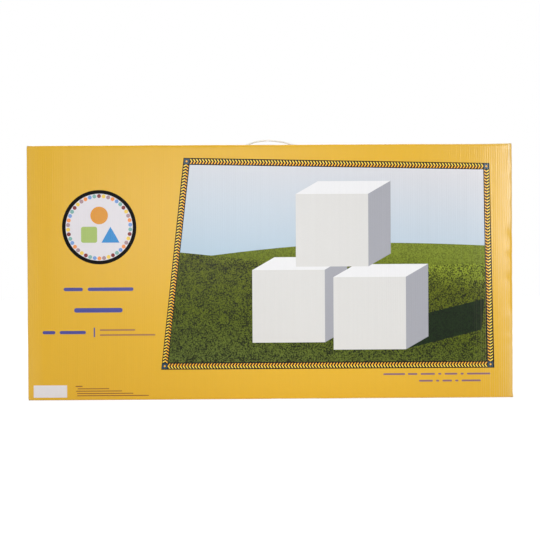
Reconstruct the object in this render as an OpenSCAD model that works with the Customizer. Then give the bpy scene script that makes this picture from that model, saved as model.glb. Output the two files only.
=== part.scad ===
// Flat retail carton of folded corrugated board, closed and packed, standing on
// its long edge. A strap handle draws up out of two slots in the overlapping
// top flaps and locks them shut. The front panel faces -Y.

/* [Carton] */
// Length of the closed carton, left to right
carton_length = 910; // [400:1:1200]
// Height of the closed carton, standing on its bottom flaps
carton_height = 477; // [200:1:700]
// Depth of the closed carton, front to back
carton_depth = 55; // [40:1:160]
// Thickness of the corrugated board
board_thickness = 1.6; // [1:0.1:3.5]
// Outside radius of every fold
fold_radius = 3; // [1.5:0.1:6]

/* [Flaps] */
// How far the ends of the long flaps stop short of the end panels' faces
flap_end_inset = 0.6; // [0.4:0.1:3]
// How far the free edge of an outer flap stops short of the back panel's face
flap_edge_inset = 1; // [0.2:0.1:3]
// Gap that the springy board leaves under an outer flap
flap_gap = 0.4; // [0.2:0.1:1.2]
// How far the back panel's raw edge stops short of the left end at the glued joint
joint_inset = 1.2; // [0.4:0.1:3]

/* [Handle] */
// Thickness of the moulded strap
strap_thickness = 2; // [1.2:0.1:3]
// Width of the strap where the hand goes
strap_width = 18; // [12:0.5:30]
// Distance between the two feet of the strap's arch
arch_span = 88; // [70:1:200]
// Rise of the arch's middle above its feet
arch_rise = 7.9; // [6:0.1:20]
// Share of a half wave that the arch follows, as an angle: less gives steeper feet
arch_turn = 120; // [60:5:170]
// Inside radius of the bend where a foot turns down into its slot
bend_inner_radius = 0.5; // [0.3:0.1:2]
// Width of the leg that passes through a slot
leg_width = 12; // [6:0.5:20]
// Width of the barb under the flaps, wider than its slot
barb_width = 22; // [16:0.5:30]
// Width of the barb at its leading end
barb_tip_width = 8; // [4:0.5:14]
// Length of the barb
barb_length = 14; // [8:0.5:24]
// How far the handle draws up before its barbs stop under the flaps
lift_travel = 18; // [8:0.5:40]

/* [Clearances] */
// Gap between a leg and each wall of its slot
slot_clearance = 0.4; // [0.2:0.1:1.5]
// Gap between the strap's shoulders and the top flap at rest
rest_gap = 0.2; // [0.1:0.05:0.5]
// Gap between the barbs and the flaps when the handle is drawn up
stop_gap = 0.3; // [0.1:0.05:1]
// Room around a barb inside the carton
barb_room = 2; // [0.5:0.1:4]

/* [Hidden] */
$fn = 64;
// Steps along half the arch and round one bend
arch_steps = 24;
bend_steps = 6;
// Length by which a cutting shape runs past the surface that it opens
overcut = 5;

board_yellow = [0.88, 0.69, 0.27];
strap_white = [0.93, 0.93, 0.94];

// The two long flaps that a leg passes through, with the gap between them
flap_stack = 2 * board_thickness + flap_gap;
// Middle line of the strap's bends and feet
bend_radius = bend_inner_radius + strap_thickness / 2;
shoulder_z = carton_height + rest_gap;
// Slope of the strap where its arch ends and its bend starts
foot_slope = atan(arch_rise * arch_turn * PI / 90 / arch_span
                  * sin(arch_turn) / (1 - cos(arch_turn)));
foot_z = shoulder_z + bend_radius * cos(foot_slope);
bend_x = arch_span / 2 - bend_radius * sin(foot_slope);
leg_x = bend_x + bend_radius;
// Top of the barbs at rest: the travel below the stop under the flaps
barb_top_z = carton_height - flap_stack - stop_gap - lift_travel;

// A rectangle between two corners, with all its corners rounded by a fold
module folded_outline(low, high) {
    size = high - low;
    translate(low + [fold_radius, 0])
        square(size - [2 * fold_radius, 0]);
    translate(low + [0, fold_radius])
        square(size - [0, 2 * fold_radius]);
    for (x = [low.x + fold_radius, high.x - fold_radius])
        for (y = [low.y + fold_radius, high.y - fold_radius])
            translate([x, y]) circle(fold_radius);
}

// Seen from above: four panels, with the back panel lapped over the glue tab at
// its left, where its raw edge shows
module panels_from_above() {
    half = [carton_length, carton_depth] / 2;
    folded_outline(-half, half - [0, board_thickness]);
    folded_outline([joint_inset - half.x, -half.y], half);
    translate([joint_inset - half.x, half.y - board_thickness - fold_radius])
        square([2 * fold_radius, board_thickness + fold_radius]);
}

// Seen from an end: the back panel folds into the inner flaps, and the front
// panel folds over them into the outer flaps, whose free edges are raw
module flaps_from_the_end() {
    half_depth = carton_depth / 2;
    outer_edge = half_depth - flap_edge_inset;
    folded_outline([-half_depth, board_thickness],
                   [half_depth, carton_height - board_thickness]);
    folded_outline([-half_depth, 0], [outer_edge, carton_height]);
    square([outer_edge, carton_height]);
}

// Seen from the front: the end panels fold into the short flaps, under the long ones
module ends_from_the_front() {
    short_flap_z = 2 * board_thickness;
    folded_outline([-carton_length / 2, short_flap_z],
                   [carton_length / 2, carton_height - short_flap_z]);
}

// Stands a profile drawn in X and Z upright, centred on a given width along Y
module upright(width) {
    rotate([90, 0, 0]) linear_extrude(width, center = true) children();
}

// Turns a profile drawn in Y and Z into a bar of a given length along X
module along_length(length) {
    rotate([90, 0, 90]) linear_extrude(length, center = true) children();
}

// The springy gap under one outer flap, open at the back and at both ends
module flap_slit(z) {
    translate([-carton_length / 2 - overcut, board_thickness - carton_depth / 2, z])
        cube([carton_length + 2 * overcut, carton_depth, flap_gap]);
}

// A slot through the top flaps and the room below it for a barb to travel in
module handle_slot(x) {
    slot = [strap_thickness, leg_width] + 2 * slot_clearance * [1, 1];
    room = [strap_thickness, barb_width] + 2 * barb_room * [1, 1];
    room_top = carton_height - flap_stack;
    room_depth = stop_gap + lift_travel + barb_length + barb_room;
    translate([x, 0, room_top - room_depth])
        linear_extrude(room_depth) square(room, center = true);
    translate([x, 0, room_top - overcut])
        linear_extrude(flap_stack + 2 * overcut) square(slot, center = true);
}

module carton() {
    color(board_yellow) difference() {
        intersection() {
            linear_extrude(carton_height) panels_from_above();
            union() {
                upright(carton_depth) ends_from_the_front();
                along_length(carton_length - 2 * flap_end_inset) flaps_from_the_end();
            }
        }
        flap_slit(carton_height - board_thickness - flap_gap);
        flap_slit(board_thickness);
        for (side = [-1, 1]) handle_slot(side * leg_x);
    }
}

// Height and slope of the strap's middle line at a share of the way from crown to foot
function arch_z(share) = foot_z + arch_rise
    * (cos(arch_turn * share) - cos(arch_turn)) / (1 - cos(arch_turn));
function arch_slope(share) =
    atan(tan(foot_slope) * sin(arch_turn * share) / sin(arch_turn));

// Stations [x, z, slope] along the right half of the strap, from the crown to the leg
stations = concat(
    [for (i = [0 : arch_steps])
        let (share = i / arch_steps)
            [share * arch_span / 2, arch_z(share), arch_slope(share)]],
    [for (i = [1 : bend_steps])
        let (slope = foot_slope + (90 - foot_slope) * i / bend_steps)
            [bend_x + bend_radius * sin(slope),
             shoulder_z + bend_radius * cos(slope), slope]]);

// One face of the strap: the stations, moved off the middle line
function strap_face(offset) = [for (s = stations)
    [s.x + offset * sin(s.z), s.y + offset * cos(s.z)]];
function reversed(points) = [for (i = [len(points) - 1 : -1 : 0]) points[i]];

// Right half of the strap's outline, seen from the front
module half_strap_outline() {
    polygon(concat(strap_face(strap_thickness / 2),
                   reversed(strap_face(-strap_thickness / 2))));
}

// A leg with its barb, hanging from the shoulders at the origin
module leg_and_barb() {
    leg_length = shoulder_z - barb_top_z;
    along_length(strap_thickness) {
        translate([-leg_width / 2, -leg_length]) square([leg_width, leg_length]);
        translate([0, -leg_length])
            polygon([[-barb_width / 2, 0], [barb_width / 2, 0],
                     [barb_tip_width / 2, -barb_length], [-barb_tip_width / 2, -barb_length]]);
    }
}

module carry_handle() {
    color(strap_white) {
        upright(strap_width) {
            half_strap_outline();
            mirror([1, 0]) half_strap_outline();
        }
        for (side = [-1, 1])
            translate([side * leg_x, 0, shoulder_z]) leg_and_barb();
    }
}

carton();
carry_handle();
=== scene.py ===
# %% [markdown]
# # A printed carton with a strap handle
#
# This lesson dresses a flat retail carton. The real one is a single die-cut sheet of
# fine corrugated board, printed on one side, folded into a shallow box and closed.
# A thin plastic strap sits in two slots of its top flaps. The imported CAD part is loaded
# first: it fixes every size and place, and nothing here moves it.

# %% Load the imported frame
import math

import bmesh
import bpy
from mathutils import Matrix, Vector, noise


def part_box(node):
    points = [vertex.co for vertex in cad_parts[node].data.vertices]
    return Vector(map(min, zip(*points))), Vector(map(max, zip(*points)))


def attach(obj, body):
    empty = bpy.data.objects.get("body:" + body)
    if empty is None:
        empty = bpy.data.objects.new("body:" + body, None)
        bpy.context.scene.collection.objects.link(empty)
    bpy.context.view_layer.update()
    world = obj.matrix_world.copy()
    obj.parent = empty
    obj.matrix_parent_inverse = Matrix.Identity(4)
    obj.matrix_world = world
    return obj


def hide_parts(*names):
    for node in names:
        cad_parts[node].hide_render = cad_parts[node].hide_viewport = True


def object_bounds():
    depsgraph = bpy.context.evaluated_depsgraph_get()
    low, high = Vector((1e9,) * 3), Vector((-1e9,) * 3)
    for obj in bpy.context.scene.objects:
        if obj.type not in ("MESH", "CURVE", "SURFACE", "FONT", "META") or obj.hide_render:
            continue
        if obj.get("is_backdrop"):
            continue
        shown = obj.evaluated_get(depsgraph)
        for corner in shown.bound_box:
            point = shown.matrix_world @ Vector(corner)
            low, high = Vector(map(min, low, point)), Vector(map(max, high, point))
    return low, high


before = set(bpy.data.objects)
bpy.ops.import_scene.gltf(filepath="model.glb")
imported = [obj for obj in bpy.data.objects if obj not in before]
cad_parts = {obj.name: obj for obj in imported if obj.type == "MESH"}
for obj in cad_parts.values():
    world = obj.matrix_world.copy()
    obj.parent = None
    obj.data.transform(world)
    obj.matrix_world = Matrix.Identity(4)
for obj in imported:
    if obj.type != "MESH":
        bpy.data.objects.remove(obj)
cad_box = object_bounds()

MM = 0.001
FOLD = 3 * MM
carton_low, carton_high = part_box("carton")
handle_low, handle_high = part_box("carry_handle")
length, depth, height = carton_high - carton_low
print("carton", [round(side / MM, 1) for side in (length, depth, height)], "mm")

# %% [markdown]
# ## Small helpers
#
# A piece is a mesh whose place is in its own vertices, so its object stays at the
# origin. Every piece rides on a body of the frame. The node helper keeps the shader
# recipes below short: a plain value is set on a socket, and a socket is linked to it.

# %% Helpers for pieces and shader nodes
def of_kind(geometry, kind):
    return [item for item in geometry if isinstance(item, kind)]


def make_piece(name, bm, materials, body, smooth_below=40):
    mesh = bpy.data.meshes.new(name)
    bm.to_mesh(mesh)
    bm.free()
    for material in materials:
        mesh.materials.append(material)
    mesh.polygons.foreach_set("use_smooth", [True] * len(mesh.polygons))
    mesh.set_sharp_from_angle(angle=math.radians(smooth_below))
    piece = bpy.data.objects.new(name, mesh)
    bpy.context.scene.collection.objects.link(piece)
    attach(piece, body)
    return piece


def add_node(tree, kind, inputs=(), **settings):
    made = tree.nodes.new(kind)
    for key, value in settings.items():
        setattr(made, key, value)
    for key, value in dict(inputs).items():
        if isinstance(value, bpy.types.NodeSocket):
            tree.links.new(value, made.inputs[key])
        else:
            made.inputs[key].default_value = value
    return made


def calc(tree, operation, first, second=0.0, third=0.0):
    terms = {0: first, 1: second, 2: third}
    return add_node(tree, "ShaderNodeMath", terms, operation=operation).outputs[0]


def map_range(tree, value, start, end, low=0.0, high=1.0):
    ends = {"Value": value, "From Min": start, "From Max": end, "To Min": low, "To Max": high}
    return add_node(tree, "ShaderNodeMapRange", ends).outputs[0]


def noise_at(tree, place, scale, detail, roughness=0.5):
    settings = {"Vector": place, "Scale": scale, "Detail": detail, "Roughness": roughness}
    return add_node(tree, "ShaderNodeTexNoise", settings).outputs[0]


def flat_colour(tree, colour):
    flat = add_node(tree, "ShaderNodeRGB").outputs[0]
    flat.default_value = colour
    return flat


def set_relief(tree, relief, shader):
    bump = add_node(tree, "ShaderNodeBump", {"Height": relief, "Distance": 1.0})
    tree.links.new(bump.outputs[0], shader["Normal"])


def new_group(name, inputs, outputs):
    group = bpy.data.node_groups.new(name, "ShaderNodeTree")
    for socket, (kind, value) in inputs.items():
        made = group.interface.new_socket(socket, in_out="INPUT", socket_type=kind)
        if value is not None:
            made.default_value = value
    for socket, kind in outputs.items():
        group.interface.new_socket(socket, in_out="OUTPUT", socket_type=kind)
    return group, group.nodes.new("NodeGroupInput").outputs


def group_outputs(group, links):
    out = group.nodes.new("NodeGroupOutput")
    for socket, value in links.items():
        group.links.new(value, out.inputs[socket])


def srgb(red, green, blue):
    parts = [part / 255 for part in (red, green, blue)]
    linear = [p / 12.92 if p <= 0.04045 else ((p + 0.055) / 1.055) ** 2.4 for p in parts]
    return (*linear, 1.0)


VALUE = "NodeSocketFloat"
VECTOR = "NodeSocketVector"
print("helpers ready")

# %% [markdown]
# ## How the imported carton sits
#
# A packed carton is never quite flat. The folded card inside pushes the two large
# panels out a little. Their flutes run upward and keep them straight that way, so they
# only roll off towards the two ends. Everything that is printed follows the same skin,
# so one function gives how far the front stands out of its plane, and both the board
# and the ink use it.

# %% The pillow of the large panels
PILLOW = 1.8 * MM
ROLL_OFF = 75 * MM


def stand_out(x):
    from_end = min(max(length / 2 - abs(x), 0.0), ROLL_OFF)
    return PILLOW * (1.0 - (1.0 - from_end / ROLL_OFF) ** 2)


def smooth_step(value, start, end):
    share = min(max((value - start) / (end - start), 0.0), 1.0)
    return share * share * (3 - 2 * share)


print("front panel stands out", round(stand_out(0) / MM, 2), "mm in the middle")

# %% [markdown]
# ## Shared finish: corrugated board under print
#
# Fine corrugated board shows its flutes through the print as a faint washboard, with
# ridges that run up the large panels and a spacing of about 4 mm. They aren't even:
# some stand higher than others, which gives the long streaks in the sheen. The group
# puts out that relief as a height in metres, a slight tone for the colour, a roughness
# and a mask of painted sheen. On the two end panels the ridges follow Y instead of X.
# Towards the right-hand end the highest crests are painted pale: painted sheen streaks,
# as where the flutes catch the lamp.

# %% Washboard group
FLUTE_PITCH = 4.2 * MM
FLUTE_DEPTH = 0.03 * MM
FLUTE_WOBBLE = 2.5
STREAK_SCALE = 150.0
STREAK_DRAWN_OUT = 0.012
FIBRE_HEIGHT = 0.0035 * MM
END_PANEL_X = length / 2 - 1.2 * MM
# over this reach from the right-hand end the crests are painted pale, as painted sheen streaks
CREST_REACH = 75 * MM
CREST_SHEEN = 0.26


def washboard_group():
    group, given = new_group(
        "board under print",
        {"Place": (VECTOR, None), "Flute Depth": (VALUE, FLUTE_DEPTH), "Gloss": (VALUE, 0.4)},
        {"Height": VALUE, "Tone": VALUE, "Roughness": VALUE, "Crest Sheen": VALUE},
    )
    place = add_node(group, "ShaderNodeSeparateXYZ", {0: given["Place"]}).outputs
    on_end = calc(group, "GREATER_THAN", calc(group, "ABSOLUTE", place["X"]), END_PANEL_X)
    swap = calc(group, "SUBTRACT", place["Y"], place["X"])
    along = calc(group, "MULTIPLY_ADD", on_end, swap, place["X"])
    rise = calc(group, "ADD", place["Z"], place["Y"])
    drawn_out = calc(group, "MULTIPLY", rise, STREAK_DRAWN_OUT)
    axes = {0: along, 1: drawn_out, 2: on_end}
    streak_place = add_node(group, "ShaderNodeCombineXYZ", axes).outputs[0]
    streak = noise_at(group, streak_place, STREAK_SCALE, 3.0, 0.65)
    wobble = calc(group, "MULTIPLY", noise_at(group, given["Place"], 9.0, 1.0), FLUTE_WOBBLE)
    ridge = calc(group, "SINE", calc(group, "MULTIPLY_ADD", along, math.tau / FLUTE_PITCH, wobble))
    uneven = calc(group, "MULTIPLY_ADD", streak, 1.6, 0.1)
    flute = calc(group, "MULTIPLY", calc(group, "MULTIPLY", ridge, uneven), given["Flute Depth"])
    swell = calc(group, "MULTIPLY", streak, calc(group, "MULTIPLY", given["Flute Depth"], 5.0))
    fibre = calc(group, "MULTIPLY", noise_at(group, given["Place"], 900.0, 2.0), FIBRE_HEIGHT)
    height_out = calc(group, "ADD", calc(group, "ADD", flute, swell), fibre)
    mottle = noise_at(group, given["Place"], 240.0, 3.0)
    tone = calc(group, "MULTIPLY_ADD", streak, 0.05, 0.965)
    tone = calc(group, "MULTIPLY_ADD", mottle, 0.03, calc(group, "SUBTRACT", tone, 0.005))
    rough = calc(group, "MULTIPLY_ADD", mottle, 0.12, calc(group, "SUBTRACT", given["Gloss"], 0.06))
    # painted sheen: the highest crests towards the right-hand end are painted pale
    highest = map_range(group, streak, 0.35, 0.6)
    crest = calc(group, "MULTIPLY", map_range(group, ridge, 0.0, 0.8), highest)
    crest_sheen_from, crest_sheen_to = length / 2 - CREST_REACH, length / 2 - FOLD
    crest_sheen = map_range(group, place["X"], crest_sheen_from, crest_sheen_to, 0.0, CREST_SHEEN)
    crest_sheen = calc(group, "MULTIPLY", crest_sheen, calc(group, "SUBTRACT", 1.0, on_end))
    rubbed_and_sheen = calc(group, "MULTIPLY", crest, crest_sheen)
    group_outputs(
        group, {"Height": height_out, "Tone": tone, "Roughness": rough, "Crest Sheen": rubbed_and_sheen}
    )
    return group


board_under_print = washboard_group()
print("group", board_under_print.name, len(board_under_print.nodes), "nodes")

# %% [markdown]
# ## Shared finish: cracked print and painted sheen along the folds
#
# Where printed board is folded, the ink layer cracks and the pale paper below shows in
# short dashes, most of all on a fold that has been knocked. The mask follows the four
# upright folds and the long top and bottom folds of the front and the back. Just inside
# their upright folds the large panels are painted paler too, more at the right: partly
# rubbing, partly painted sheen where the panel rolls off towards the fold. Beside the
# right-hand fold runs a pale line of painted highlight, brightest under the top corner.
# About half-way up that fold the painted sheen is left out. Towards the right a broad,
# milky painted sheen is a second mask.

# %% Fold wear and painted sheen group
WEAR_REACH = 2.2 * MM
# paler just inside the upright folds: partly rubbing, partly painted sheen
RUBBED_AND_SHEEN = 0.055
RUBBED_AND_SHEEN_REACH = 30 * MM
# the right-hand fold's last millimetres paler still: partly wear, partly painted sheen
KNOCKED_AND_SHEEN = 0.16
KNOCKED_AND_SHEEN_REACH = 7 * MM
# a pale line of painted highlight beside the right-hand fold, brightest near its top
CREASE_HIGHLIGHT_INSET = 6 * MM
CREASE_HIGHLIGHT_FOOT = 425 * MM
# half-way up the right-hand fold the painted sheen is left out
SHEENLESS_MIDDLE = 238 * MM
SHEENLESS_HALF = 70 * MM
# a broad, milky painted sheen towards the right-hand end
SHEEN_HAZE = 0.03
SHEEN_HAZE_REACH = 190 * MM
SHEEN_HAZE_FOOT = 170 * MM


def fold_wear_and_sheen_group():
    group, given = new_group(
        "cracked print and painted sheen on folds",
        {"Place": (VECTOR, None), "Amount": (VALUE, 0.5)},
        {"Mask": VALUE, "Sheen Haze": VALUE},
    )
    place = add_node(group, "ShaderNodeSeparateXYZ", {0: given["Place"]}).outputs
    half_length = calc(group, "SUBTRACT", length / 2, calc(group, "ABSOLUTE", place["X"]))
    middle = calc(group, "ABSOLUTE", calc(group, "SUBTRACT", place["Z"], height / 2))
    half_height = calc(group, "SUBTRACT", height / 2, middle)
    half_depth = calc(group, "SUBTRACT", depth / 2, calc(group, "ABSOLUTE", place["Y"]))
    pairs = ((half_length, half_depth), (half_height, half_depth), (half_length, half_height))
    nearest = None
    for first, second in pairs:
        to_fold = calc(group, "MAXIMUM", first, second)
        nearest = to_fold if nearest is None else calc(group, "MINIMUM", nearest, to_fold)
    near = map_range(group, nearest, WEAR_REACH, 0.0)
    cracks = noise_at(group, given["Place"], 210.0, 4.0, 0.7)
    patches = noise_at(group, given["Place"], 17.0, 2.0)
    broken = calc(group, "MULTIPLY_ADD", patches, 0.9, calc(group, "SUBTRACT", cracks, 0.45))
    right = calc(group, "GREATER_THAN", place["X"], 0.0)
    by_side = calc(group, "MULTIPLY_ADD", right, 0.6, 0.4)
    strength = calc(group, "MULTIPLY", given["Amount"], by_side)
    raw = calc(group, "MULTIPLY", calc(group, "MULTIPLY", near, broken), strength)
    cracked = map_range(group, raw, 0.16, 0.42)
    # paler just inside the upright folds: partly rubbing, partly painted sheen
    rubbed_and_sheen = map_range(group, half_length, RUBBED_AND_SHEEN_REACH, FOLD, 0.0, RUBBED_AND_SHEEN)
    # the right-hand fold's last millimetres paler still: partly wear, partly painted sheen
    knocked_and_sheen = map_range(group, half_length, KNOCKED_AND_SHEEN_REACH, 2 * MM, 0.0, KNOCKED_AND_SHEEN)
    knocked_and_sheen = calc(group, "MULTIPLY", right, knocked_and_sheen)
    # a pale line of painted highlight beside the right-hand fold, brightest under the top corner
    off_crease = calc(group, "ABSOLUTE", calc(group, "SUBTRACT", half_length, CREASE_HIGHLIGHT_INSET))
    crease_highlight = calc(group, "MULTIPLY", right, map_range(group, off_crease, 2.2 * MM, 0.8 * MM))
    sharp = map_range(group, place["Z"], CREASE_HIGHLIGHT_FOOT, CREASE_HIGHLIGHT_FOOT + 20 * MM, 0.1, 0.35)
    crease_highlight = calc(group, "MULTIPLY", crease_highlight, sharp)
    scuff_and_sheen = calc(group, "ADD", calc(group, "ADD", rubbed_and_sheen, knocked_and_sheen), crease_highlight)
    # half-way up the right-hand fold the painted sheen and highlight are left out
    off_middle = calc(group, "ABSOLUTE", calc(group, "SUBTRACT", place["Z"], SHEENLESS_MIDDLE))
    lost = map_range(group, off_middle, SHEENLESS_HALF, SHEENLESS_HALF + 12 * MM)
    lost = calc(group, "MAXIMUM", lost, calc(group, "SUBTRACT", 1.0, right))
    scuff_and_sheen = calc(group, "MULTIPLY", scuff_and_sheen, lost)
    on_panel = map_range(group, half_depth, FOLD, 0.5 * MM)
    uneven = calc(group, "MULTIPLY", on_panel, calc(group, "MULTIPLY_ADD", patches, 1.2, 0.4))
    scuff_and_sheen = calc(group, "MULTIPLY", scuff_and_sheen, uneven)
    # a broad, milky painted sheen towards the right-hand end, from mid-height up
    sheen_haze_from, sheen_haze_to = length / 2 - SHEEN_HAZE_REACH, length / 2 - SHEEN_HAZE_REACH / 2
    sheen_haze = map_range(group, place["X"], sheen_haze_from, sheen_haze_to, 0.0, SHEEN_HAZE)
    risen = map_range(group, place["Z"], SHEEN_HAZE_FOOT, SHEEN_HAZE_FOOT + 80 * MM)
    sheen_haze = calc(group, "MULTIPLY", calc(group, "MULTIPLY", sheen_haze, risen), uneven)
    group_outputs(group, {"Mask": calc(group, "MAXIMUM", cracked, scuff_and_sheen), "Sheen Haze": sheen_haze})
    return group


cracked_print_and_sheen = fold_wear_and_sheen_group()
print("group", cracked_print_and_sheen.name, len(cracked_print_and_sheen.nodes), "nodes")

# %% [markdown]
# ## Printed finishes
#
# Every printed colour is the same thing: ink and varnish on the same board. So one
# function makes them all, and a colour is either plain or comes from a few nodes of
# its own, as on the lawn and the sky. The shader itself stays in the material. The
# varnish mirrors a little of the white studio, so an ink is mixed that much darker than
# the colour that it should show.

# %% Printed ink on board
VARNISH_SPECULAR = 0.45
VARNISH_VEIL = 0.032
DEEPEST_INK = 0.003
PRINT_GLOSS = 0.22
# the paper colour shows where the print cracks or rubs, and also stands in for painted sheen and
# painted highlight; the milky colour is a painted sheen
PAPER_AND_SHEEN = srgb(238, 222, 186)
MILKY_SHEEN = srgb(200, 197, 190)


def ink(red, green, blue):
    shown = srgb(red, green, blue)
    return (*(max(part - VARNISH_VEIL, DEEPEST_INK) for part in shown[:3]), 1.0)


def start_material(name):
    material = bpy.data.materials.new(name)
    material.use_nodes = True
    tree = material.node_tree
    place = tree.nodes.new("ShaderNodeTexCoord").outputs["Object"]
    return material, tree, place, tree.nodes["Principled BSDF"].inputs


def tinted(tree, colour, tone):
    scaled = add_node(tree, "ShaderNodeVectorMath", {0: colour, 1: tone}, operation="MULTIPLY")
    return scaled.outputs[0]


def over(tree, below, above, share):
    layers = {"Factor": share, "A": below, "B": above}
    return add_node(tree, "ShaderNodeMix", layers, data_type="RGBA").outputs["Result"]


def finish_as_print(
    tree, place, shader, colour, gloss=PRINT_GLOSS, worn=0.0, varnish=VARNISH_SPECULAR
):
    feel = {"Place": place, "Flute Depth": FLUTE_DEPTH, "Gloss": gloss}
    board = add_node(tree, "ShaderNodeGroup", feel, node_tree=board_under_print)
    skin = tinted(tree, colour, board.outputs["Tone"])
    # painted sheen: pale streaks on the flute crests near the right-hand end
    skin = over(tree, skin, PAPER_AND_SHEEN, board.outputs["Crest Sheen"])
    if worn:
        folds = {"Place": place, "Amount": worn}
        wear_and_sheen = add_node(tree, "ShaderNodeGroup", folds, node_tree=cracked_print_and_sheen)
        # painted sheen: a broad milky mix towards the right-hand end
        skin = over(tree, skin, MILKY_SHEEN, wear_and_sheen.outputs["Sheen Haze"])
        # cracks and rubs in the print, with painted sheen and a painted highlight along the folds
        skin = over(tree, skin, PAPER_AND_SHEEN, wear_and_sheen.outputs["Mask"])
    set_relief(tree, board.outputs["Height"], shader)
    tree.links.new(skin, shader["Base Color"])
    tree.links.new(board.outputs["Roughness"], shader["Roughness"])
    shader["Specular IOR Level"].default_value = varnish


def plain_ink(name, colour, **finish):
    material, tree, place, shader = start_material(name)
    finish_as_print(tree, place, shader, flat_colour(tree, colour), **finish)
    return material


board_yellow = plain_ink("yellow print", ink(228, 180, 56), worn=0.9)
print("material", board_yellow.name)

# %% [markdown]
# ## Raw board
#
# A cut edge shows how the board is made: two thin liners with a waved sheet glued
# between them. Edges that cross the flutes show the wave, and the hollows between the
# wave and the liners are painted as shade, a dark brown. The inside of the blank is
# plain brown liner.

# %% Raw edge and inside liner
BOARD = 1.6 * MM
LINER = 0.28 * MM
HOLLOW_SHADE = srgb(120, 92, 62)
CUT_PAPER = srgb(206, 182, 145)
LINER_DARK = srgb(150, 118, 82)
LINER_PALE = srgb(188, 156, 116)


def raw_edge_material():
    material, tree, place, shader = start_material("raw board edge")
    axes = add_node(tree, "ShaderNodeSeparateXYZ", {0: place}).outputs
    wave = calc(tree, "SINE", calc(tree, "MULTIPLY", axes["X"], math.tau / FLUTE_PITCH))
    from_top = calc(tree, "SUBTRACT", height - BOARD / 2, axes["Z"])
    from_foot = calc(tree, "SUBTRACT", axes["Z"], BOARD / 2)
    off_middle = calc(
        tree, "MINIMUM", calc(tree, "ABSOLUTE", from_top), calc(tree, "ABSOLUTE", from_foot)
    )
    medium = calc(tree, "ABSOLUTE", calc(tree, "MULTIPLY_ADD", wave, BOARD / 2 - LINER, from_top))
    sheet = calc(tree, "LESS_THAN", medium, LINER * 0.8)
    liner = calc(tree, "GREATER_THAN", off_middle, BOARD / 2 - LINER)
    paper = calc(tree, "MAXIMUM", sheet, liner)
    fibre = noise_at(tree, place, 1400.0, 3.0)
    # painted shade in the flute hollows, cut paper on the wave and the liners
    cut_board = over(tree, HOLLOW_SHADE, CUT_PAPER, paper)
    tone = calc(tree, "MULTIPLY_ADD", fibre, 0.3, 0.85)
    tree.links.new(tinted(tree, cut_board, tone), shader["Base Color"])
    relief = calc(tree, "MULTIPLY", paper, 0.2 * MM)
    set_relief(tree, calc(tree, "MULTIPLY_ADD", fibre, 0.04 * MM, relief), shader)
    shader["Roughness"].default_value = 0.9
    shader["Specular IOR Level"].default_value = 0.2
    return material


def brown_liner_material():
    material, tree, place, shader = start_material("brown inside liner")
    flecks = over(tree, LINER_DARK, LINER_PALE, noise_at(tree, place, 700.0, 4.0))
    finish_as_print(tree, place, shader, flecks, gloss=0.85)
    return material


raw_edge = raw_edge_material()
brown_liner = brown_liner_material()
print("materials", raw_edge.name, "and", brown_liner.name)

# %% [markdown]
# ## The blank: walls first
#
# The carton is folded from one sheet, so it is modelled as one sheet. It could be a
# bevelled cube, but then the overlapping flaps, their raw edges and the glued corner
# would be missing. Six points in plan, from the hidden glue tab round to the raw edge
# of the back panel, are drawn up into walls, and the four upright edges are bevelled
# into folds.

# %% Draw up the walls and fold them
FOLD_STEPS = 5
FLAP_GAP = 0.4 * MM
LEVEL = BOARD + FLAP_GAP
JOINT_INSET = 1.2 * MM
GLUE_TAB = 35 * MM
half_x, half_y = length / 2, depth / 2
TOUCH = 0.01 * MM

sheet = bmesh.new()
plan = [
    (GLUE_TAB - half_x, half_y - LEVEL), (-half_x, half_y - LEVEL), (-half_x, -half_y),
    (half_x, -half_y), (half_x, half_y), (JOINT_INSET - half_x, half_y),
]
foot = [sheet.verts.new((x, y, FOLD)) for x, y in plan]
foot_edges = [sheet.edges.new(pair) for pair in zip(foot, foot[1:])]
raised = bmesh.ops.extrude_edge_only(sheet, edges=foot_edges)["geom"]
bmesh.ops.translate(sheet, verts=of_kind(raised, bmesh.types.BMVert), vec=(0, 0, height - 2 * FOLD))
upright = [edge for edge in sheet.edges if len(edge.link_faces) == 2]
bmesh.ops.bevel(
    sheet, geom=upright, offset=FOLD, offset_type="OFFSET", segments=FOLD_STEPS,
    profile=0.5, affect="EDGES", material=-1,
)
print("walls", len(sheet.faces), "faces,", len(upright), "upright folds")

# %% [markdown]
# ## The blank: flaps
#
# The flaps lie on three levels. The front panel's flaps are outermost, the back panel's
# lie one board lower, and the short end flaps one lower still. So the walls are first
# cut back to those levels. Then each wall's edge is spun a quarter turn about its fold,
# and the flap is drawn on from there.

# %% Cut the walls back and turn the flaps
SHORT_FLAP = 50 * MM
FLAP_EDGE_INSET = 1 * MM
FLAP_END_INSET = 0.6 * MM


def level_at(point):
    if point.y > half_y - TOUCH:
        return 1
    round_corner = min(max((abs(point.x) - half_x + FOLD) / FOLD, 0.0), 1.0)
    on_tab = point.x < 0 < point.y
    return 2 if on_tab else 2 * round_corner if point.y < 0 else 1 + round_corner


for vertex in sheet.verts:
    inward = 1 if vertex.co.z < height / 2 else -1
    vertex.co.z += inward * level_at(vertex.co) * LEVEL


def turn_flap(on_wall, hinge, axis, turn, reach):
    edges = [edge for edge in sheet.edges if on_wall((edge.verts[0].co + edge.verts[1].co) / 2)]
    arc = bmesh.ops.spin(
        sheet, geom=edges, cent=hinge, axis=axis, angle=turn, steps=FOLD_STEPS, use_merge=False,
    )
    last = of_kind(arc["geom_last"], bmesh.types.BMEdge)
    drawn = bmesh.ops.extrude_edge_only(sheet, edges=last)["geom"]
    bmesh.ops.translate(sheet, verts=of_kind(drawn, bmesh.types.BMVert), vec=reach)


def at(value, target):
    return abs(value - target) < TOUCH


def edge_z(side, level):
    inside = level * LEVEL + FOLD
    return height - inside if side > 0 else inside


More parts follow.
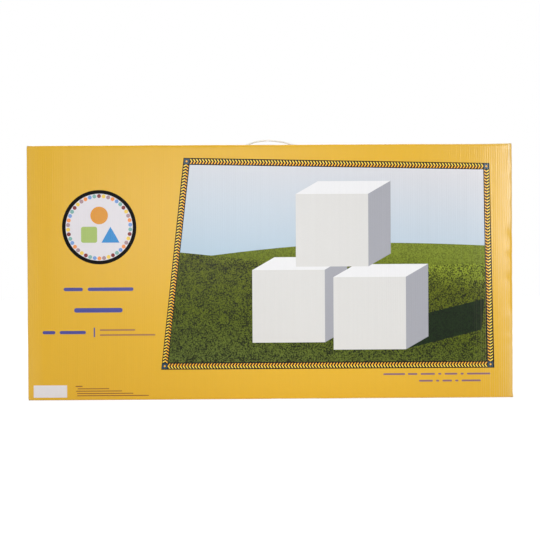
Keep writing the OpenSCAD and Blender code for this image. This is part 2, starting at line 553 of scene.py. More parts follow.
for side in (1, -1):
    quarter = side * math.pi / 2
    outer_z, inner_z, short_z = (edge_z(side, level) for level in range(3))
    turn_flap(
        lambda p: at(p.y, -half_y) and at(p.z, outer_z),
        (0, FOLD - half_y, outer_z), (1, 0, 0), -quarter,
        (0, depth - FOLD - FLAP_EDGE_INSET, 0),
    )
    turn_flap(
        lambda p: at(p.y, half_y) and at(p.z, inner_z),
        (0, half_y - FOLD, inner_z), (1, 0, 0), quarter,
        (0, FOLD + BOARD + FLAP_EDGE_INSET - depth, 0),
    )
    for end in (1, -1):
        turn_flap(
            lambda p: at(p.x, end * half_x) and at(p.z, short_z),
            (end * (half_x - FOLD), 0, short_z), (0, 1, 0), -quarter * end,
            (-end * SHORT_FLAP, 0, 0),
        )

for vertex in sheet.verts:
    x, y, z = vertex.co
    in_long_flap = min(z, height - z) < LEVEL + TOUCH and abs(y) < half_y - FOLD + TOUCH
    if in_long_flap and abs(abs(x) - half_x + FOLD) < TOUCH:
        vertex.co.x = math.copysign(half_x - FLAP_END_INSET, x)
print("blank", len(sheet.faces), "faces with its flaps")

# %% [markdown]
# ## The blank: corner ears
#
# At the corners the die only slits the board between two flaps, so the bent board there
# stands up almost to the top of the closed carton. These ears are what makes a packed
# carton's corners look sharp from the front. Only the short edges round a corner start an
# ear: an edge on the side of a flap or along its free end doesn't.

# %% Draw the corner ears
EAR_GAP = 0.7 * MM
EAR_END = 0.9


def round_the_corner(point):
    turned = math.atan2(abs(point.x) - half_x + FOLD, abs(point.y) - half_y + FOLD)
    return turned / (math.pi / 2)


def in_corner(vertex):
    x, y = vertex.co.xy
    near_corner = abs(x) > half_x - FOLD - TOUCH and abs(y) > half_y - FOLD - TOUCH
    glued_corner = x < 0 < y
    return near_corner and not glued_corner


def starts_an_ear(edge):
    first, last = (vertex.co for vertex in edge.verts)
    in_one_corner = all(map(in_corner, edge.verts)) and edge.calc_length() < FOLD
    before_end = max(round_the_corner(first), round_the_corner(last)) < EAR_END
    goes_round = abs(first.x - last.x) > TOUCH
    return edge.is_boundary and in_one_corner and before_end and goes_round


ear_edges = [edge for edge in sheet.edges if starts_an_ear(edge)]
drawn = bmesh.ops.extrude_edge_only(sheet, edges=ear_edges)["geom"]
for vertex in of_kind(drawn, bmesh.types.BMVert):
    turned = round_the_corner(vertex.co)
    own_level = 0 if vertex.co.y < 0 else LEVEL
    drop = own_level + EAR_GAP + smooth_step(turned, 0.35, 1.0) * (FOLD + LEVEL)
    vertex.co.z = drop if vertex.co.z < height / 2 else height - drop
print(len(ear_edges), "edges drawn into ears")

# %% [markdown]
# ## The blank: slots, and a net of cuts
#
# The strap's legs go through two slots in both top flaps. Bisecting the flaps along the
# slot's sides leaves one small face to delete at each. After that a net of cuts gives
# the flat panels enough vertices to take the pillow, the dents and the wear, with a cut
# close beside every fold so that the shading stays crisp there.

# %% Cut the slots and the net
STRAP = 2 * MM
SLOT_GAP = 0.4 * MM
LEG_WIDTH = 12 * MM
leg_x = handle_high.x - STRAP / 2
slot_half = Vector((STRAP / 2 + SLOT_GAP, LEG_WIDTH / 2 + SLOT_GAP))


def cut(bm, axis, place, faces=None):
    chosen = bm.faces[:] if faces is None else faces
    edges = {edge for face in chosen for edge in face.edges}
    verts = {vertex for face in chosen for vertex in face.verts}
    normal = [float(axis == name) for name in "xyz"]
    point = [place * share for share in normal]
    bmesh.ops.bisect_plane(
        bm, geom=[*verts, *edges, *chosen], dist=TOUCH / 10, plane_co=point, plane_no=normal
    )


def top_flaps():
    return [
        face for face in sheet.faces
        if face.calc_center_median().z > height - LEVEL - BOARD and abs(face.normal.z) > 0.99
    ]


sheet.normal_update()
for end in (1, -1):
    for edge in (1, -1):
        cut(sheet, "x", end * leg_x + edge * slot_half.x, top_flaps())
for edge in (1, -1):
    cut(sheet, "y", edge * slot_half.y, top_flaps())
slots = [
    face for face in top_flaps()
    if abs(abs(face.calc_center_median().x) - leg_x) < slot_half.x
    and abs(face.calc_center_median().y) < slot_half.y
]
bmesh.ops.delete(sheet, geom=slots, context="FACES")


def net_lines(span, step, margin):
    count = round((span - 2 * margin) / step)
    return [margin + (span - 2 * margin) * i / count for i in range(count + 1)]


BESIDE_FOLD = FOLD + 2.4 * MM
NET = {
    "x": [place - half_x for place in net_lines(length, 13 * MM, BESIDE_FOLD)],
    "y": [place - half_y for place in net_lines(depth, 9 * MM, BESIDE_FOLD)],
    "z": net_lines(height, 4 * MM, BESIDE_FOLD),
}
for axis, lines in NET.items():
    for line in lines:
        cut(sheet, axis, line)
front = next(face for face in sheet.faces if face.calc_center_median().y < TOUCH - half_y)
if front.normal.y > 0:
    bmesh.ops.reverse_faces(sheet, faces=sheet.faces[:])
print("net of", len(sheet.faces), "faces,", len(slots), "slot faces removed")

# %% [markdown]
# ## Wear: a knocked fold
#
# The right-hand front fold has been knocked along its length and pressed in about
# half-way up, its foot is splayed and the top corner above it has lifted. Each dent is a
# place up the fold, half its length and a depth. The other folds only waver a little.

# %% Settle and dent the blank
DENTS = [
    (462, 13, 1.1), (415, 7, 0.8), (365, 7, 0.9), (313, 13, 1.2), (267, 6, 0.8),
    (224, 7, 0.9), (124, 6, 0.8), (100, 6, 0.7), (17, 12, 0.9),
]
DENT_REACH = 6 * MM
DENT_PUSH = Vector((-0.35, 0.9, 0))
PRESSED = 0.8 * MM
PRESS_REACH = 12 * MM
FOLD_WAVER = 0.35 * MM
WAVER_LENGTH = 45 * MM
SPLAY = 1.2 * MM
CORNER_LIFT = 0.7 * MM


def settle(point):
    x, y, z = point
    to_front = min(max(-y / half_y, -1.0), 1.0)
    out = stand_out(x) * to_front
    waver = noise.noise(Vector((x, y, z)) / WAVER_LENGTH) * FOLD_WAVER
    near_end = smooth_step(abs(x), half_x - 9 * MM, half_x)
    near_top = smooth_step(z, height - 12 * MM, height)
    moved = Vector((math.copysign(waver * near_end, x), -out, waver * near_top))
    from_fold = math.hypot(half_x - x, half_y + y)
    for place, half_long, deep in DENTS:
        along = (z - place * MM) / (half_long * MM)
        share = math.exp(-along ** 2 - (from_fold / DENT_REACH) ** 2)
        moved += DENT_PUSH * (deep * MM * share)
    half_way = smooth_step(abs(z - SHEENLESS_MIDDLE), SHEENLESS_HALF + 20 * MM, SHEENLESS_HALF - 10 * MM)
    moved.y += PRESSED * half_way * math.exp(-(from_fold / PRESS_REACH) ** 2)
    at_foot = smooth_step(z, 9 * MM, 0) * smooth_step(x, half_x - 7 * MM, half_x)
    at_top = smooth_step(z, height - 45 * MM, height) * smooth_step(x, half_x - 50 * MM, half_x)
    return point + moved + Vector((SPLAY * at_foot, 0, CORNER_LIFT * at_top))


for vertex in sheet.verts:
    vertex.co = settle(vertex.co)
finishes = [board_yellow, brown_liner, raw_edge]
carton = make_piece("carton_board", sheet, finishes, "carton", 60)
shell = carton.modifiers.new("board thickness", "SOLIDIFY")
shell.thickness = BOARD
shell.offset = -1
shell.material_offset = 1
shell.material_offset_rim = 2
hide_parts("carton")
print("carton_board", len(carton.data.polygons), "faces before its thickness")

# %% [markdown]
# ## Printing on the front
#
# Print is flat fields of ink. They could be drawn in the shader, but a shape cut as a
# thin film stays sharp at any distance and in any other program. A film starts as flat
# faces on the plane Y = 0, is cut along the board's own net where the panel is curved,
# gets its thickness, and is then laid on the pillow of the front panel. Later films lie
# on earlier ones.

# %% Ink films
FILM = 0.06 * MM
FILM_SEAT = 0.05 * MM
front_y = carton_low.y
CURVED = [line for line in NET["x"] if abs(line) > half_x - ROLL_OFF - 13 * MM]


def field(bm, corners):
    return bm.faces.new([bm.verts.new((x * MM, 0, z * MM)) for x, z in corners])


def lay_film(name, bm, layer, *inks, follow=True):
    places = [vertex.co.x for vertex in bm.verts]
    for line in CURVED if follow else ():
        if min(places) < line < max(places):
            cut(bm, "x", line)
    lifted = bmesh.ops.extrude_face_region(bm, geom=bm.faces[:])["geom"]
    thick = FILM_SEAT + layer * FILM
    bmesh.ops.translate(bm, verts=of_kind(lifted, bmesh.types.BMVert), vec=(0, -thick, 0))
    bmesh.ops.recalc_face_normals(bm, faces=bm.faces[:])
    for vertex in bm.verts:
        vertex.co.y += front_y + FILM_SEAT - stand_out(vertex.co.x)
    piece = make_piece(name, bm, inks, "carton", 30)
    print(name, len(piece.data.polygons), "faces on layer", layer)


def bar(bm, left, right, middle, tall, corner=None):
    low, high = middle - tall / 2, middle + tall / 2
    face = field(bm, [(left, low), (right, low), (right, high), (left, high)])
    radius = tall / 2 * 0.98 if corner is None else corner
    bmesh.ops.bevel(
        bm, geom=face.verts[:], offset=radius * MM, segments=5, profile=0.5,
        affect="VERTICES", material=-1,
    )


def disc(bm, x, z, radius, steps=48):
    turned = Matrix.Translation((x * MM, 0, z * MM)) @ Matrix.Rotation(math.pi / 2, 4, "X")
    made = bmesh.ops.create_circle(
        bm, cap_ends=True, segments=steps, radius=radius * MM, matrix=turned
    )
    return made["verts"][0].link_faces[0]


def ring(bm, x, z, outer, inner, steps=96):
    face = disc(bm, x, z, outer, steps)
    wide = (outer - inner) * MM
    bmesh.ops.inset_individual(bm, faces=[face], thickness=wide, use_even_offset=True)
    bmesh.ops.delete(bm, geom=[face], context="FACES_ONLY")


print("films follow", len(CURVED), "cuts of the net")

# %% [markdown]
# ## The picture's chevron border
#
# A leaning four-sided frame of dark blue carries a plain row of chevrons that runs
# clockwise round it, with a small blue block at each corner. One chevron is two slanted
# arms, one gold and one orange; the rest are stepped along each side. Coordinates on the
# front are given in millimetres, from the carton's middle and its foot.

# %% Border band, corner blocks and chevrons
OUTER = [(-161.1, 452.9), (412.0, 440.4), (419.7, 56.3), (-205.4, 56.4)]
INNER = [(-150.0, 439.8), (400.4, 428.3), (405.4, 69.2), (-192.3, 69.7)]
BAND_EDGE = 1.1
CHEVRON_PITCH = 5.62
CHEVRON_HALF = 4.6
CHEVRON_TIP = 2.9
CHEVRON_THICK = 2.5
CORNER_BLOCK = 5.1
CORNER_ROOM = 5.6
CORNER_DOT = 1.8
MITRE = 1.3

DARK_VARNISH = 0.15
band_ink = plain_ink("dark blue ink", ink(26, 28, 58), varnish=DARK_VARNISH)
edge_ink = plain_ink("blue-black ink", ink(24, 23, 32), varnish=DARK_VARNISH)
corner_ink = plain_ink("teal ink", ink(38, 74, 88))
gold_ink = plain_ink("gold ink", ink(255, 222, 84))
orange_ink = plain_ink("orange ink", ink(255, 186, 60))


def toward(start, end, share):
    return Vector(start).lerp(Vector(end), share)


def frame_ring(bm, outer, inner):
    for i in range(4):
        j = (i + 1) % 4
        field(bm, [outer[i], outer[j], inner[j], inner[i]])
    bmesh.ops.remove_doubles(bm, verts=bm.verts[:], dist=TOUCH)


corner_to_corner = (Vector(OUTER[0]) - Vector(INNER[0])).length
edge_share = BAND_EDGE / corner_to_corner * MITRE
outer_line = [toward(o, i, edge_share) for o, i in zip(OUTER, INNER)]
inner_line = [toward(i, o, edge_share) for o, i in zip(OUTER, INNER)]
middle_line = [toward(o, i, 0.5) for o, i in zip(OUTER, INNER)]

bm = bmesh.new()
frame_ring(bm, OUTER, INNER)
lay_film("border_band", bm, 1, band_ink)
bm = bmesh.new()
frame_ring(bm, OUTER, outer_line)
frame_ring(bm, inner_line, INNER)
lay_film("border_edges", bm, 2, edge_ink)

corners = bmesh.new()
dots = bmesh.new()
chevrons = {"gold": bmesh.new(), "orange": bmesh.new()}
for i in range(4):
    start, end = middle_line[i], middle_line[(i + 1) % 4]
    run = (end - start).normalized()
    back = (middle_line[i - 1] - start).normalized()
    arms = [(1, 1), (-1, 1), (-1, -1), (1, -1)]
    field(corners, [start + (run * a + back * b) * CORNER_BLOCK for a, b in arms])
    disc(dots, start.x, start.y, CORNER_DOT, 16)
    across = Vector((-run.y, run.x))
    free = (end - start).length - 2 * CORNER_ROOM
    count = round(free / CHEVRON_PITCH)
    for step in range(count):
        tail = start + run * (CORNER_ROOM + free * (step + 0.5) / count)
        tip, thick = run * CHEVRON_TIP, run * CHEVRON_THICK
        for name, arm in (("gold", across * CHEVRON_HALF), ("orange", -across * CHEVRON_HALF)):
            field(chevrons[name], [tail + tip, tail + arm, tail + arm - thick, tail + tip - thick])
lay_film("border_corner_blocks", corners, 3, corner_ink, follow=False)
lay_film("border_corner_dots", dots, 4, orange_ink, follow=False)
lay_film("border_chevrons_gold", chevrons["gold"], 3, gold_ink, follow=False)
lay_film("border_chevrons_orange", chevrons["orange"], 3, orange_ink, follow=False)

# %% [markdown]
# ## The picture
#
# The place of the pack's picture holds a plain design: a pale sky, a lawn and a few
# white building blocks with their shadow. The sky's and the lawn's colours come from
# short node recipes. Each reads the height on the panel, with a slight slant, between
# stops of a place in millimetres and an ink, and the lawn adds a speckle like blades of
# grass.

# %% Sky and lawn inks
def faded(tree, place, stops, slant=0.0):
    axes = add_node(tree, "ShaderNodeSeparateXYZ", {0: place}).outputs
    rise = calc(tree, "MULTIPLY_ADD", axes["X"], slant, axes["Z"])
    low, high = stops[0][0] * MM, stops[-1][0] * MM
    ramp = add_node(tree, "ShaderNodeValToRGB", {"Fac": map_range(tree, rise, low, high)})
    points = ramp.color_ramp.elements
    while len(points) < len(stops):
        points.new(0.5)
    for point, (mark, colour) in zip(points, stops):
        point.position = (mark * MM - low) / (high - low)
        point.color = colour
    return ramp.outputs[0]


def sky_material(stops):
    material, tree, place, shader = start_material("sky ink")
    finish_as_print(tree, place, shader, faded(tree, place, stops, slant=0.1))
    return material


def lawn_material(name, stops, contrast):
    material, tree, place, shader = start_material(name)
    blades = calc(tree, "MULTIPLY", noise_at(tree, place, 430.0, 2.0, 0.6), 0.8)
    tufts = calc(tree, "MULTIPLY", noise_at(tree, place, 60.0, 3.0), 0.2)
    speckle = calc(tree, "ADD", blades, tufts)
    light = map_range(tree, speckle, 0.4, 0.6, 1 - contrast, 1 + contrast)
    grass = tinted(tree, faded(tree, place, stops, slant=0.12), light)
    finish_as_print(tree, place, shader, grass, varnish=DARK_VARNISH)
    return material


SKY = [
    (270, ink(181, 202, 218)), (360, ink(199, 210, 221)),
    (440, ink(214, 216, 222)), (480, ink(223, 221, 225)),
]
LAWN = [
    (60, ink(87, 96, 60)), (150, ink(85, 93, 49)),
    (245, ink(88, 94, 50)), (285, ink(118, 129, 60)),
]
HILL = [(255, ink(106, 117, 54)), (310, ink(124, 136, 64))]
SHADE = [(68, ink(55, 62, 51)), (280, ink(55, 62, 51))]
sky_ink = sky_material(SKY)
lawn_ink = lawn_material("lawn ink", LAWN, 0.9)
hill_ink = lawn_material("far lawn ink", HILL, 0.3)
shade_ink = lawn_material("lawn shadow ink", SHADE, 0.4)
block_front = plain_ink("block front ink", ink(220, 219, 217))
block_side = plain_ink("block side ink", ink(166, 167, 175))
block_top = plain_ink("block top ink", ink(236, 236, 238))
print("picture inks ready")

# %% [markdown]
# ## The picture's fields
#
# Each field is one flat face. The sky fills the frame, the far and the near lawn end in a
# swelling skyline, and a block is three faces, each with an ink of its own. Every block is
# a layer of its own, since they overlap.

# %% Sky, hills, lawn and blocks
SKYLINE_STEPS = 36


def edge_x(corner_a, corner_b, z):
    (xa, za), (xb, zb) = corner_a, corner_b
    return xa + (xb - xa) * (z - za) / (zb - za)


def ground(bm, left_z, right_z, swell):
    left = edge_x(INNER[3], INNER[0], left_z)
    right = edge_x(INNER[2], INNER[1], right_z)
    skyline = []
    for i in range(SKYLINE_STEPS + 1):
        share = i / SKYLINE_STEPS
        level = left_z + (right_z - left_z) * share + swell * math.sin(math.pi * share)
        skyline.append((left + (right - left) * share, level))
    field(bm, [INNER[3], INNER[2], *reversed(skyline)])


bm = bmesh.new()
field(bm, INNER)
lay_film("picture_sky", bm, 1, sky_ink)
bm = bmesh.new()
ground(bm, 262, 286, 16)
lay_film("picture_hill", bm, 2, hill_ink)
bm = bmesh.new()
ground(bm, 276, 252, -12)
lay_film("picture_lawn", bm, 3, lawn_ink)

BLOCK = 136
LEAN = Vector((42, 24))
BLOCKS = {"left": (-34, 106), "right": (118, 92), "upper": (48, 248)}
bm = bmesh.new()
field(bm, [(250, 92), (396, 128), (402, 186), (296, 160)])
lay_film("picture_shadow", bm, 4, shade_ink)
for layer, (name, corner) in enumerate(BLOCKS.items(), start=5):
    left, up = Vector(corner), Vector((0, BLOCK))
    right = left + Vector((BLOCK, 0))
    bm = bmesh.new()
    field(bm, [left, right, right + up, left + up])
    side = field(bm, [right, right + LEAN, right + LEAN + up, right + up])
    top = field(bm, [left + up, right + up, right + up + LEAN, left + up + LEAN])
    side.material_index = 1
    top.material_index = 2
    bmesh.ops.remove_doubles(bm, verts=bm.verts[:], dist=TOUCH)
    lay_film("picture_block_" + name, bm, layer, block_front, block_side, block_top)

# %% [markdown]
# ## Badge
#
# To the left is a round badge: a dark ring, a pale disc, a ring of coloured dots and
# three plain shapes.

# %% Badge
BADGE = (-319.7, 324.0)
RING_OUTER = 69.5
RING_INNER = 62.7
DOT_CIRCLE = 58.3
DOT_RADIUS = 3.7
DOT_COUNT = 42
DOT_COLOURS = {
    "red": (132, 32, 44), "yellow": (240, 204, 92), "mauve": (170, 140, 146),
    "orange": (242, 150, 84), "blue": (122, 158, 216), "teal": (128, 178, 172),
}
black_ink = plain_ink("black ink", ink(32, 30, 30), varnish=DARK_VARNISH / 3)
pale_ink = plain_ink("pale disc ink", ink(226, 222, 227))

bm = bmesh.new()
disc(bm, *BADGE, RING_INNER + 1, 96)
lay_film("badge_disc", bm, 1, pale_ink)
bm = bmesh.new()
ring(bm, *BADGE, RING_OUTER, RING_INNER)
lay_film("badge_ring", bm, 2, black_ink)
for start, (name, colour) in enumerate(DOT_COLOURS.items()):
    bm = bmesh.new()
    for step in range(start, DOT_COUNT, len(DOT_COLOURS)):
        turn = math.tau * step / DOT_COUNT
        x, z = DOT_CIRCLE * math.sin(turn), DOT_CIRCLE * math.cos(turn)
        disc(bm, BADGE[0] + x, BADGE[1] + z, DOT_RADIUS, 20)
    lay_film("badge_dots_" + name, bm, 2, plain_ink(name + " dot ink", ink(*colour)))

bm = bmesh.new()
bar(bm, BADGE[0] - 34, BADGE[0] - 4, BADGE[1] - 14, 30, corner=4)
lay_film("badge_square", bm, 2, plain_ink("green ink", ink(166, 190, 106)))
bm = bmesh.new()
disc(bm, BADGE[0], BADGE[1] + 22, 16.5)
lay_film("badge_spot", bm, 2, plain_ink("amber ink", ink(222, 150, 52)))
bm = bmesh.new()
TRIANGLE = [(4, -29), (38, -29), (21, 1)]
field(bm, [(BADGE[0] + x, BADGE[1] + z) for x, z in TRIANGLE])
lay_film("badge_triangle", bm, 2, plain_ink("bright blue ink", ink(22, 140, 206)))

# %% [markdown]
# ## Lines of type and label
#
# Where a pack carries its wording, rounded bars stand for lines of type. Each bar is its
# two ends, its middle height and how tall it is. A blank white label sits in the bottom
# corner.

# %% Bars that stand for lines of type
violet_ink = plain_ink("violet-blue ink", ink(76, 79, 152))
muted_ink = plain_ink("muted brown ink", ink(168, 122, 84))
grey_violet_ink = plain_ink("grey-violet ink", ink(140, 108, 120))
brown_ink = plain_ink("brown ink", ink(142, 92, 36))
white_ink = plain_ink("white label ink", ink(230, 227, 230))

TITLE = [
    (-386.9, -351, 207.9, 6.5), (-342, -256.4, 207.9, 6.5), (-367.6, -277, 168.6, 8.5),
    (-426.9, -403, 127.2, 6), (-395, -345.9, 127.2, 6),
]
SIDE_LINES = [(-320, -253.7, 131.4, 3), (-320, -216, 122.1, 3)]
SMALL_PRINT = [
    (-365.9, -353, 26.2, 1.9), (-362, -303, 21.6, 1.5), (-365, -279, 17.2, 1.5),
    (-363, -258, 12.8, 1.5), (-363, -229, 8.6, 1.5),
]
SIZE_ROWS = {
    45.4: [(211, 252), (257, 275), (281, 308), (314, 320), (326, 350), (356, 362), (368, 412)],
    32.6: [(278, 304), (310, 316), (322, 340), (346, 352), (358, 394)],
}
SIZE_TALL = 3.4
SIZE_LINES = [(*ends, row, SIZE_TALL) for row, words in SIZE_ROWS.items() for ends in words]
RULE = (-331.3, -328.9, 127.2, 18)
LABEL = (-444.5, -381.8, 16.9, 23)


def lay_bars(name, bars, bar_ink, corner=None):
    bm = bmesh.new()
    for left, right, middle, tall in bars:
        bar(bm, left, right, middle, tall, corner)
    lay_film(name, bm, 1, bar_ink)


lay_bars("title_bars", TITLE, violet_ink)
lay_bars("title_rule", [RULE], violet_ink, corner=0.3)
lay_bars("side_line_bars", SIDE_LINES, muted_ink)
lay_bars("small_print_bars", SMALL_PRINT, brown_ink)
lay_bars("size_line_bars", SIZE_LINES, grey_violet_ink)
lay_bars("blank_label", [LABEL], white_ink, corner=0.8)

# %% [markdown]
# ## The strap's plastic
#
# The strap is moulded in soft, whitish plastic. Light sinks some millimetres into it,
# which keeps the side away from the lamps pale.

# %% Strap plastic
STRAP_WHITE = srgb(228, 240, 255)
LIGHT_SINKS = (6 * MM, 7 * MM, 8 * MM)
MOULDED_SKIN = 0.012 * MM


def strap_material():
    material, tree, place, shader = start_material("whitish strap plastic")
    cloud = noise_at(tree, place, 90.0, 2.0)
    tone = calc(tree, "MULTIPLY_ADD", cloud, 0.08, 0.95)
    plastic = tinted(tree, flat_colour(tree, STRAP_WHITE), tone)
    tree.links.new(plastic, shader["Base Color"])
    skin = calc(tree, "MULTIPLY", noise_at(tree, place, 1600.0, 1.0), MOULDED_SKIN)
    set_relief(tree, skin, shader)
    tree.links.new(calc(tree, "MULTIPLY_ADD", cloud, 0.1, 0.14), shader["Roughness"])
    shader["Specular IOR Level"].default_value = 0.6
    shader["Subsurface Weight"].default_value = 1.0
    shader["Subsurface Radius"].default_value = LIGHT_SINKS
    shader["Subsurface Scale"].default_value = 1.0
    return material


strap_plastic = strap_material()
print("material", strap_plastic.name)

# %% [markdown]
# ## The strap's shape
#
# Half of the strap is drawn from one edge at the crown: each step draws the edge on along
# the arch, round the bend and down the leg, with its width set on the way, and the barb is
# two more steps. The half is then mirrored. A strap that has been carried no longer
# springs evenly, so this one is pushed a little fuller on the left. Last come its
# thickness and its small moulded edge.

# %% Draw the strap
STRAP_WIDTH = 18 * MM
BARB_WIDTH = 22 * MM
BARB_TIP = 8 * MM
BARB_LENGTH = 14 * MM
BEND = 0.5 * MM + STRAP / 2
REST_GAP = 0.2 * MM
SHOULDER = 0.6 * MM
ARCH_HALF = 44 * MM
ARCH_RISE = 7.9 * MM
ARCH_TURN = math.radians(120)
ARCH_STEPS = 36
BEND_STEPS = 6
FULL_FLANKS = 1.4 * MM
STRAP_LEAN = 0.5 * MM
MOULDED_EDGE = 0.4 * MM

crown_z = handle_high.z - STRAP / 2
foot_z = crown_z - ARCH_RISE
shoulder_z = height + REST_GAP
barb_z = handle_low.z + BARB_LENGTH
foot_cos = math.cos(ARCH_TURN)
foot_steep = ARCH_RISE / ARCH_HALF * ARCH_TURN * math.sin(ARCH_TURN) / (1 - foot_cos)
foot_slope = math.atan(foot_steep)
bend_x = leg_x - BEND

route = []
for i in range(1, ARCH_STEPS + 1):
    share = i / ARCH_STEPS
    rise = (math.cos(ARCH_TURN * share) - foot_cos) / (1 - foot_cos)
    route.append((ARCH_HALF * share, foot_z + ARCH_RISE * rise, STRAP_WIDTH))
for i in range(1, BEND_STEPS + 1):
    slope = foot_slope + (math.pi / 2 - foot_slope) * i / BEND_STEPS
    x, z = bend_x + BEND * math.sin(slope), shoulder_z + BEND * math.cos(slope)
    route.append((x, z, STRAP_WIDTH))
route += [
    (leg_x, shoulder_z - SHOULDER, LEG_WIDTH), (leg_x, barb_z + SHOULDER, LEG_WIDTH),
    (leg_x, barb_z, BARB_WIDTH), (leg_x, handle_low.z, BARB_TIP),
]

ribbon = bmesh.new()
crown = [ribbon.verts.new((0, side * STRAP_WIDTH / 2, crown_z)) for side in (-1, 1)]
edge = ribbon.edges.new(crown)
for x, z, width in route:
    drawn = bmesh.ops.extrude_edge_only(ribbon, edges=[edge])["geom"]
    ends = of_kind(drawn, bmesh.types.BMVert)
    for vertex in ends:
        vertex.co = (x, math.copysign(width / 2, vertex.co.y), z)
    new_edges = of_kind(drawn, bmesh.types.BMEdge)
    edge = next(item for item in new_edges if set(item.verts) == set(ends))
half_strap = ribbon.faces[:] + ribbon.edges[:] + ribbon.verts[:]
bmesh.ops.mirror(ribbon, geom=half_strap, axis="X", merge_dist=TOUCH)
for vertex in ribbon.verts:
    along = vertex.co.x / ARCH_HALF
    if abs(along) < 1:
        vertex.co.z += math.sin(math.pi * along) * (FULL_FLANKS * along - STRAP_LEAN)
bmesh.ops.recalc_face_normals(ribbon, faces=ribbon.faces[:])
strap = make_piece("strap_handle", ribbon, [strap_plastic], "handle", 35)
wall = strap.modifiers.new("strap thickness", "SOLIDIFY")
wall.thickness = STRAP
wall.offset = 0
wall.use_even_offset = True
soft = strap.modifiers.new("moulded edge", "BEVEL")
soft.width = MOULDED_EDGE
soft.segments = 3
soft.limit_method = "ANGLE"
soft.angle_limit = math.radians(50)
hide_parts("carry_handle")
print("strap_handle", len(strap.data.polygons), "faces before its thickness")

# %% [markdown]
# ## White studio
#
# The floor shows as white to the camera and keeps a faint shadow. The world is white
# wherever it is seen or mirrored, and lights the carton more softly than that.

# %% White floor and world
FLOOR_SIZE = 12.0
FLOOR_WHITE = 0.8
FLOOR_GLOW = 1.14
AMBIENT = 0.66
WHITE = (1, 1, 1, 1)


def seen_directly(tree):
    rays = tree.nodes.new("ShaderNodeLightPath").outputs
    seen = calc(tree, "MAXIMUM", rays["Is Camera Ray"], rays["Is Glossy Ray"])
    return calc(tree, "MAXIMUM", seen, rays["Is Transmission Ray"])


bm = bmesh.new()
bmesh.ops.create_grid(bm, x_segments=4, y_segments=4, size=FLOOR_SIZE / 2)
floor_mesh = bpy.data.meshes.new("floor")
bm.to_mesh(floor_mesh)
bm.free()
floor = bpy.data.objects.new("floor", floor_mesh)
bpy.context.scene.collection.objects.link(floor)
floor_white = bpy.data.materials.new("white floor")
floor_white.use_nodes = True
tree = floor_white.node_tree
matt = tree.nodes["Principled BSDF"]
matt.inputs["Base Color"].default_value = (0.94, 0.94, 0.94, 1)
matt.inputs["Roughness"].default_value = 0.9
matt.inputs["Specular IOR Level"].default_value = 0.0
glow = add_node(tree, "ShaderNodeEmission", {"Color": WHITE, "Strength": FLOOR_GLOW})
share = calc(tree, "MULTIPLY", seen_directly(tree), FLOOR_WHITE)
layers = {0: share, 1: matt.outputs[0], 2: glow.outputs[0]}
blend = add_node(tree, "ShaderNodeMixShader", layers)
tree.links.new(blend.outputs[0], tree.nodes["Material Output"].inputs["Surface"])
floor_mesh.materials.append(floor_white)
floor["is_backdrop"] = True

world = bpy.data.worlds.new("white studio")
bpy.context.scene.world = world
world.use_nodes = True
tree = world.node_tree
soft_light = tree.nodes["Background"]
soft_light.inputs["Color"].default_value = WHITE
soft_light.inputs["Strength"].default_value = AMBIENT
white = add_node(tree, "ShaderNodeBackground", {"Color": WHITE, "Strength": 1.0})
layers = {0: seen_directly(tree), 1: soft_light.outputs[0], 2: white.outputs[0]}
blend = add_node(tree, "ShaderNodeMixShader", layers)
tree.links.new(blend.outputs[0], tree.nodes["World Output"].inputs["Surface"])
print("floor and world are white to the camera")

# %% [markdown]
# ## Lamps
#
# The light is soft and mostly from the front, with one softbox a little to the right of
# the camera: the front panel mirrors it where it rolls off to the right-hand fold. Two
# weak fills near the front even out the light up the panel, and the varnish doesn't
# mirror them. The other two light the back and the top.

# %% Lamps
def softbox(name, place, target, width, tall, watts, mirrored=True):
    lamp = bpy.data.lights.new(name, "AREA")
    lamp.shape = "RECTANGLE"
    lamp.size = width
    lamp.size_y = tall
    lamp.energy = watts
    holder = bpy.data.objects.new(name, lamp)
    holder.location = place
    aim = Vector(target) - Vector(place)
    holder.rotation_euler = aim.to_track_quat("-Z", "Y").to_euler()
    holder.visible_camera = False
    holder.visible_glossy = mirrored
    bpy.context.scene.collection.objects.link(holder)


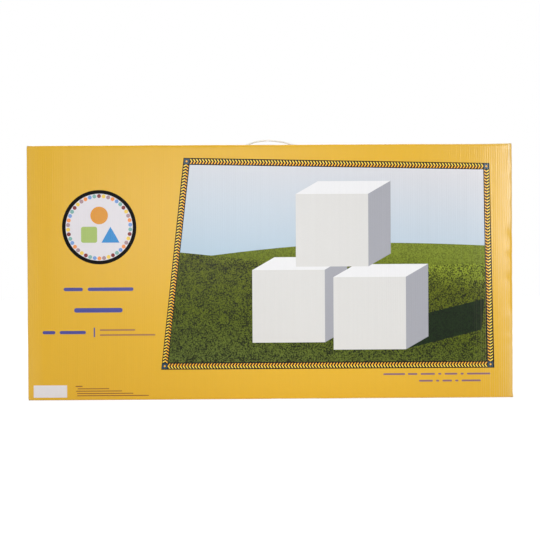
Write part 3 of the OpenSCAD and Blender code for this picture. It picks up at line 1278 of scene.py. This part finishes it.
middle = (0, 0, height / 2)
softbox("right softbox", (1.26, -2.5, 0.46), middle, 0.17, 0.56, 8.2)
softbox("front softbox", (-0.3, -3.0, 0.46), middle, 0.9, 0.6, 5.4)
softbox("near fill", (0.2, -1.08, 0.46), (0.2, 0, 0.46), 0.62, 0.49, 1.45, mirrored=False)
softbox("low fill", (0.1, -0.33, 0.04), (0.1, 0, 0.04), 0.5, 0.08, 0.13, mirrored=False)
softbox("back softbox", (-0.4, 2.6, 1.5), middle, 1.6, 1.2, 20)
softbox("overhead softbox", (0, 0.2, 2.4), middle, 1.6, 1.0, 10)
print("six softboxes")

# %% [markdown]
# ## Camera
#
# The camera looks straight at the front from about the carton's middle with a long lens,
# and leans a fraction of a degree as in a hand-set product shot. The size of its picture
# on the front panel sets how far away it stands.

# %% Camera
PICTURE_WIDTH = 1012.5 * MM
LENS = 90.0
SENSOR = 36.0
VIEW_TURN = math.radians(-0.55)
VIEW_RISE = math.radians(0.55)
VIEW_ROLL = math.radians(-0.33)
LOOK_AT = Vector((-0.6 * MM, front_y, 242.1 * MM))

distance = PICTURE_WIDTH * LENS / SENSOR
flat_share = math.cos(VIEW_RISE)
away = Vector((
    math.sin(VIEW_TURN) * flat_share, -math.cos(VIEW_TURN) * flat_share, math.sin(VIEW_RISE)
))
lens = bpy.data.cameras.new("camera")
lens.lens = LENS
lens.sensor_width = SENSOR
camera = bpy.data.objects.new("camera", lens)
camera.location = LOOK_AT + away * distance
facing = (-away).to_track_quat("-Z", "Y").to_matrix().to_4x4()
camera.rotation_euler = (facing @ Matrix.Rotation(VIEW_ROLL, 4, "Z")).to_euler()
bpy.context.scene.collection.objects.link(camera)
bpy.context.scene.camera = camera
bpy.context.scene.view_settings.view_transform = "Standard"
print("camera", round(distance, 2), "m from the front panel")

# %% [markdown]
# ## Sizes
#
# The dressed carton has to stay in the box of the imported part. The last line prints
# how far the dressed box grows past it at the high corner.

# %% Write the sizes and finish
visual_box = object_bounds()
growth = [round((visual_box[1][i] - cad_box[1][i]) / MM, 2) for i in range(3)]
print("grows by", growth, "mm at the high corner")
